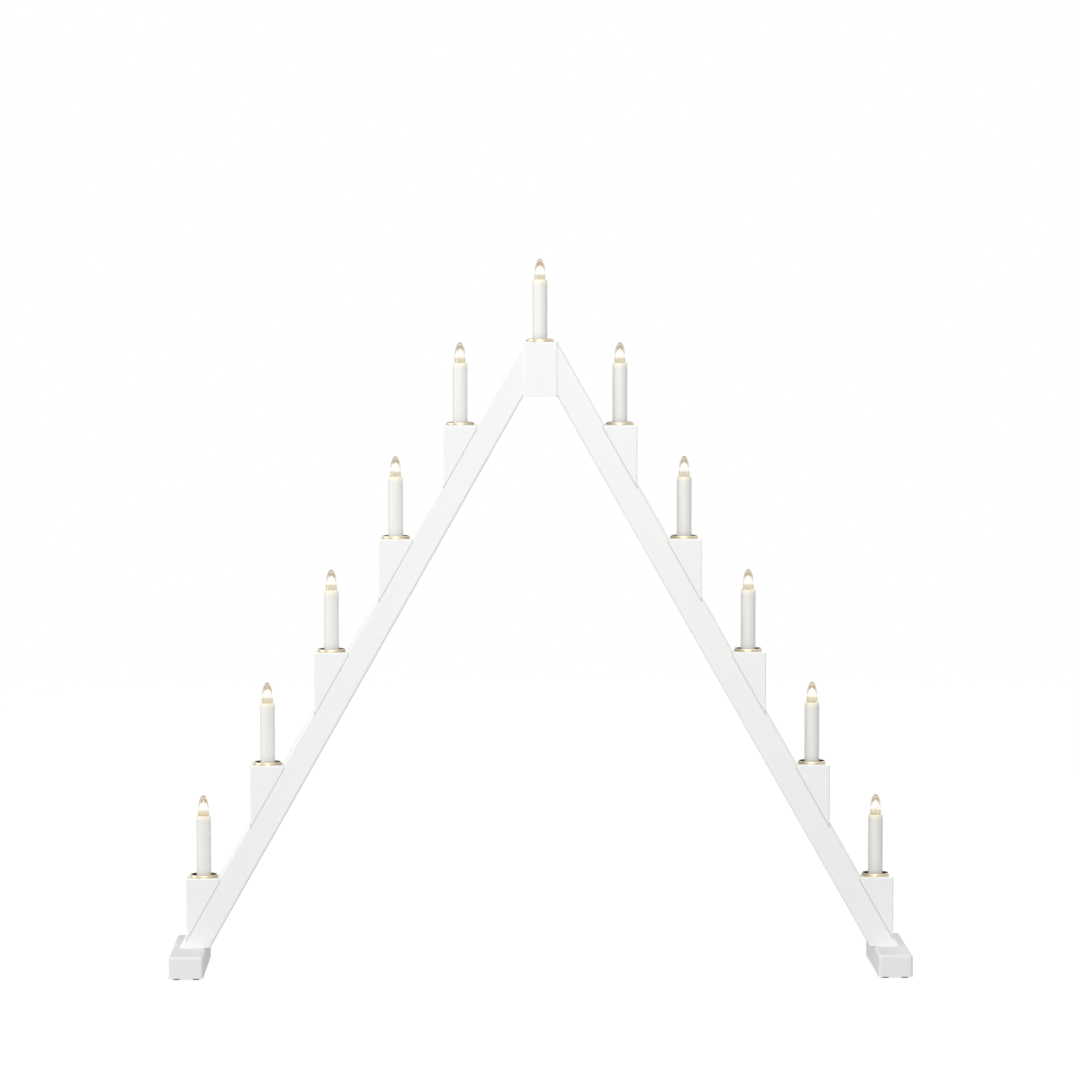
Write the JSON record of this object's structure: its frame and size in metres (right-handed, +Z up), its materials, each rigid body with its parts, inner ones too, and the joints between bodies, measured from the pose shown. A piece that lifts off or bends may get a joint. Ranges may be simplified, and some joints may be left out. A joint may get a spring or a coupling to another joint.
{
  "type": "electric candle arch",
  "caption": "Free-standing triangular electric candle arch: stepped candles with flame-tip screw bulbs on two leaning white wooden beams.",
  "frame": {"origin": "on the floor, midway between the two feet", "axes": "+X to the right along the arch's span, +Y to the back, +Z up"},
  "size_m": [0.7376, 0.14, 0.7125],
  "materials": {
    "painted_wood": "satin white lacquer, sprayed over fine-grained wood",
    "rubber": "matt",
    "screw_steel": "zinc plated",
    "dowel_wood": "bare beech",
    "collar_brass": "bright lacquered pressed sheet",
    "candle_plastic": "ivory, softly translucent",
    "plug_plastic": "moulded",
    "socket_plastic": "moulded",
    "shell_brass": "rolled sheet",
    "wire_insulation": "white insulation",
    "grommet_rubber": "white, matt",
    "bulb_glass": "clear blown glass",
    "bulb_cap_metal": "nickel-plated brass",
    "solder": "dull solder"
  },
  "bodies": {
    "root": {"left_beam": "painted_wood", "right_beam": "painted_wood", "apex_block": "painted_wood", "left_step_block_1": "painted_wood", "left_step_block_2": "painted_wood", "left_step_block_3": "painted_wood", "left_step_block_4": "painted_wood", "left_step_block_5": "painted_wood", "right_step_block_1": "painted_wood", "right_step_block_2": "painted_wood", "right_step_block_3": "painted_wood", "right_step_block_4": "painted_wood", "right_step_block_5": "painted_wood", "left_foot": "painted_wood", "right_foot": "painted_wood", "foot_pads": "rubber", "foot_screws": "screw_steel", "apex_dowels": "dowel_wood", "brass_collars": "collar_brass", "candle_sleeves": "candle_plastic", "sleeve_plugs": "plug_plastic", "socket_bodies": "socket_plastic", "socket_shells": "shell_brass", "socket_contacts": "shell_brass", "wiring": "wire_insulation", "groove_covers": "painted_wood", "cord_grommet": "grommet_rubber"},
    "bulb_tip_1": {"bulb_tip_1": "solder"},
    "bulb_1": {"bulb_glass_1": "bulb_glass", "bulb_cap_1": "bulb_cap_metal"},
    "bulb_tip_2": {"bulb_tip_2": "solder"},
    "bulb_2": {"bulb_glass_2": "bulb_glass", "bulb_cap_2": "bulb_cap_metal"},
    "bulb_tip_3": {"bulb_tip_3": "solder"},
    "bulb_3": {"bulb_glass_3": "bulb_glass", "bulb_cap_3": "bulb_cap_metal"},
    "bulb_tip_4": {"bulb_tip_4": "solder"},
    "bulb_4": {"bulb_glass_4": "bulb_glass", "bulb_cap_4": "bulb_cap_metal"},
    "bulb_tip_5": {"bulb_tip_5": "solder"},
    "bulb_5": {"bulb_glass_5": "bulb_glass", "bulb_cap_5": "bulb_cap_metal"},
    "bulb_tip_6": {"bulb_tip_6": "solder"},
    "bulb_6": {"bulb_glass_6": "bulb_glass", "bulb_cap_6": "bulb_cap_metal"},
    "bulb_tip_7": {"bulb_tip_7": "solder"},
    "bulb_7": {"bulb_glass_7": "bulb_glass", "bulb_cap_7": "bulb_cap_metal"},
    "bulb_tip_8": {"bulb_tip_8": "solder"},
    "bulb_8": {"bulb_glass_8": "bulb_glass", "bulb_cap_8": "bulb_cap_metal"},
    "bulb_tip_9": {"bulb_tip_9": "solder"},
    "bulb_9": {"bulb_glass_9": "bulb_glass", "bulb_cap_9": "bulb_cap_metal"},
    "bulb_tip_10": {"bulb_tip_10": "solder"},
    "bulb_10": {"bulb_glass_10": "bulb_glass", "bulb_cap_10": "bulb_cap_metal"},
    "bulb_tip_11": {"bulb_tip_11": "solder"},
    "bulb_11": {"bulb_glass_11": "bulb_glass", "bulb_cap_11": "bulb_cap_metal"}
  },
  "joints": [
    {"name": "bulb_1_rise", "type": "slide", "parent": "root", "child": "bulb_tip_1", "axis": [0, 0, 1], "range_m": [0, 0.00727]},
    {"name": "bulb_1_unscrew", "type": "hinge", "parent": "bulb_tip_1", "child": "bulb_1", "pos_m": [-0.33737, 0, 0.139], "axis": [0, 0, 1], "range_deg": [0, 1440]},
    {"name": "bulb_2_rise", "type": "slide", "parent": "root", "child": "bulb_tip_2", "axis": [0, 0, 1], "range_m": [0, 0.00727]},
    {"name": "bulb_2_unscrew", "type": "hinge", "parent": "bulb_tip_2", "child": "bulb_2", "pos_m": [-0.27295, 0, 0.2524], "axis": [0, 0, 1], "range_deg": [0, 1440]},
    {"name": "bulb_3_rise", "type": "slide", "parent": "root", "child": "bulb_tip_3", "axis": [0, 0, 1], "range_m": [0, 0.00727]},
    {"name": "bulb_3_unscrew", "type": "hinge", "parent": "bulb_tip_3", "child": "bulb_3", "pos_m": [-0.20853, 0, 0.3658], "axis": [0, 0, 1], "range_deg": [0, 1440]},
    {"name": "bulb_4_rise", "type": "slide", "parent": "root", "child": "bulb_tip_4", "axis": [0, 0, 1], "range_m": [0, 0.00727]},
    {"name": "bulb_4_unscrew", "type": "hinge", "parent": "bulb_tip_4", "child": "bulb_4", "pos_m": [-0.14411, 0, 0.4792], "axis": [0, 0, 1], "range_deg": [0, 1440]},
    {"name": "bulb_5_rise", "type": "slide", "parent": "root", "child": "bulb_tip_5", "axis": [0, 0, 1], "range_m": [0, 0.00727]},
    {"name": "bulb_5_unscrew", "type": "hinge", "parent": "bulb_tip_5", "child": "bulb_5", "pos_m": [-0.07969, 0, 0.5926], "axis": [0, 0, 1], "range_deg": [0, 1440]},
    {"name": "bulb_6_rise", "type": "slide", "parent": "root", "child": "bulb_tip_6", "axis": [0, 0, 1], "range_m": [0, 0.00727]},
    {"name": "bulb_6_unscrew", "type": "hinge", "parent": "bulb_tip_6", "child": "bulb_6", "pos_m": [0, 0, 0.6755], "axis": [0, 0, 1], "range_deg": [0, 1440]},
    {"name": "bulb_7_rise", "type": "slide", "parent": "root", "child": "bulb_tip_7", "axis": [0, 0, 1], "range_m": [0, 0.00727]},
    {"name": "bulb_7_unscrew", "type": "hinge", "parent": "bulb_tip_7", "child": "bulb_7", "pos_m": [0.07969, 0, 0.5926], "axis": [0, 0, 1], "range_deg": [0, 1440]},
    {"name": "bulb_8_rise", "type": "slide", "parent": "root", "child": "bulb_tip_8", "axis": [0, 0, 1], "range_m": [0, 0.00727]},
    {"name": "bulb_8_unscrew", "type": "hinge", "parent": "bulb_tip_8", "child": "bulb_8", "pos_m": [0.14411, 0, 0.4792], "axis": [0, 0, 1], "range_deg": [0, 1440]},
    {"name": "bulb_9_rise", "type": "slide", "parent": "root", "child": "bulb_tip_9", "axis": [0, 0, 1], "range_m": [0, 0.00727]},
    {"name": "bulb_9_unscrew", "type": "hinge", "parent": "bulb_tip_9", "child": "bulb_9", "pos_m": [0.20853, 0, 0.3658], "axis": [0, 0, 1], "range_deg": [0, 1440]},
    {"name": "bulb_10_rise", "type": "slide", "parent": "root", "child": "bulb_tip_10", "axis": [0, 0, 1], "range_m": [0, 0.00727]},
    {"name": "bulb_10_unscrew", "type": "hinge", "parent": "bulb_tip_10", "child": "bulb_10", "pos_m": [0.27295, 0, 0.2524], "axis": [0, 0, 1], "range_deg": [0, 1440]},
    {"name": "bulb_11_rise", "type": "slide", "parent": "root", "child": "bulb_tip_11", "axis": [0, 0, 1], "range_m": [0, 0.00727]},
    {"name": "bulb_11_unscrew", "type": "hinge", "parent": "bulb_tip_11", "child": "bulb_11", "pos_m": [0.33737, 0, 0.139], "axis": [0, 0, 1], "range_deg": [0, 1440]}
  ],
  "couplings": [
    {"joint": "bulb_1_rise", "follows": "bulb_1_unscrew", "m_per_rad": 0.00028871},
    {"joint": "bulb_2_rise", "follows": "bulb_2_unscrew", "m_per_rad": 0.00028871},
    {"joint": "bulb_3_rise", "follows": "bulb_3_unscrew", "m_per_rad": 0.00028871},
    {"joint": "bulb_4_rise", "follows": "bulb_4_unscrew", "m_per_rad": 0.00028871},
    {"joint": "bulb_5_rise", "follows": "bulb_5_unscrew", "m_per_rad": 0.00028871},
    {"joint": "bulb_6_rise", "follows": "bulb_6_unscrew", "m_per_rad": 0.00028871},
    {"joint": "bulb_7_rise", "follows": "bulb_7_unscrew", "m_per_rad": 0.00028871},
    {"joint": "bulb_8_rise", "follows": "bulb_8_unscrew", "m_per_rad": 0.00028871},
    {"joint": "bulb_9_rise", "follows": "bulb_9_unscrew", "m_per_rad": 0.00028871},
    {"joint": "bulb_10_rise", "follows": "bulb_10_unscrew", "m_per_rad": 0.00028871},
    {"joint": "bulb_11_rise", "follows": "bulb_11_unscrew", "m_per_rad": 0.00028871}
  ]
}
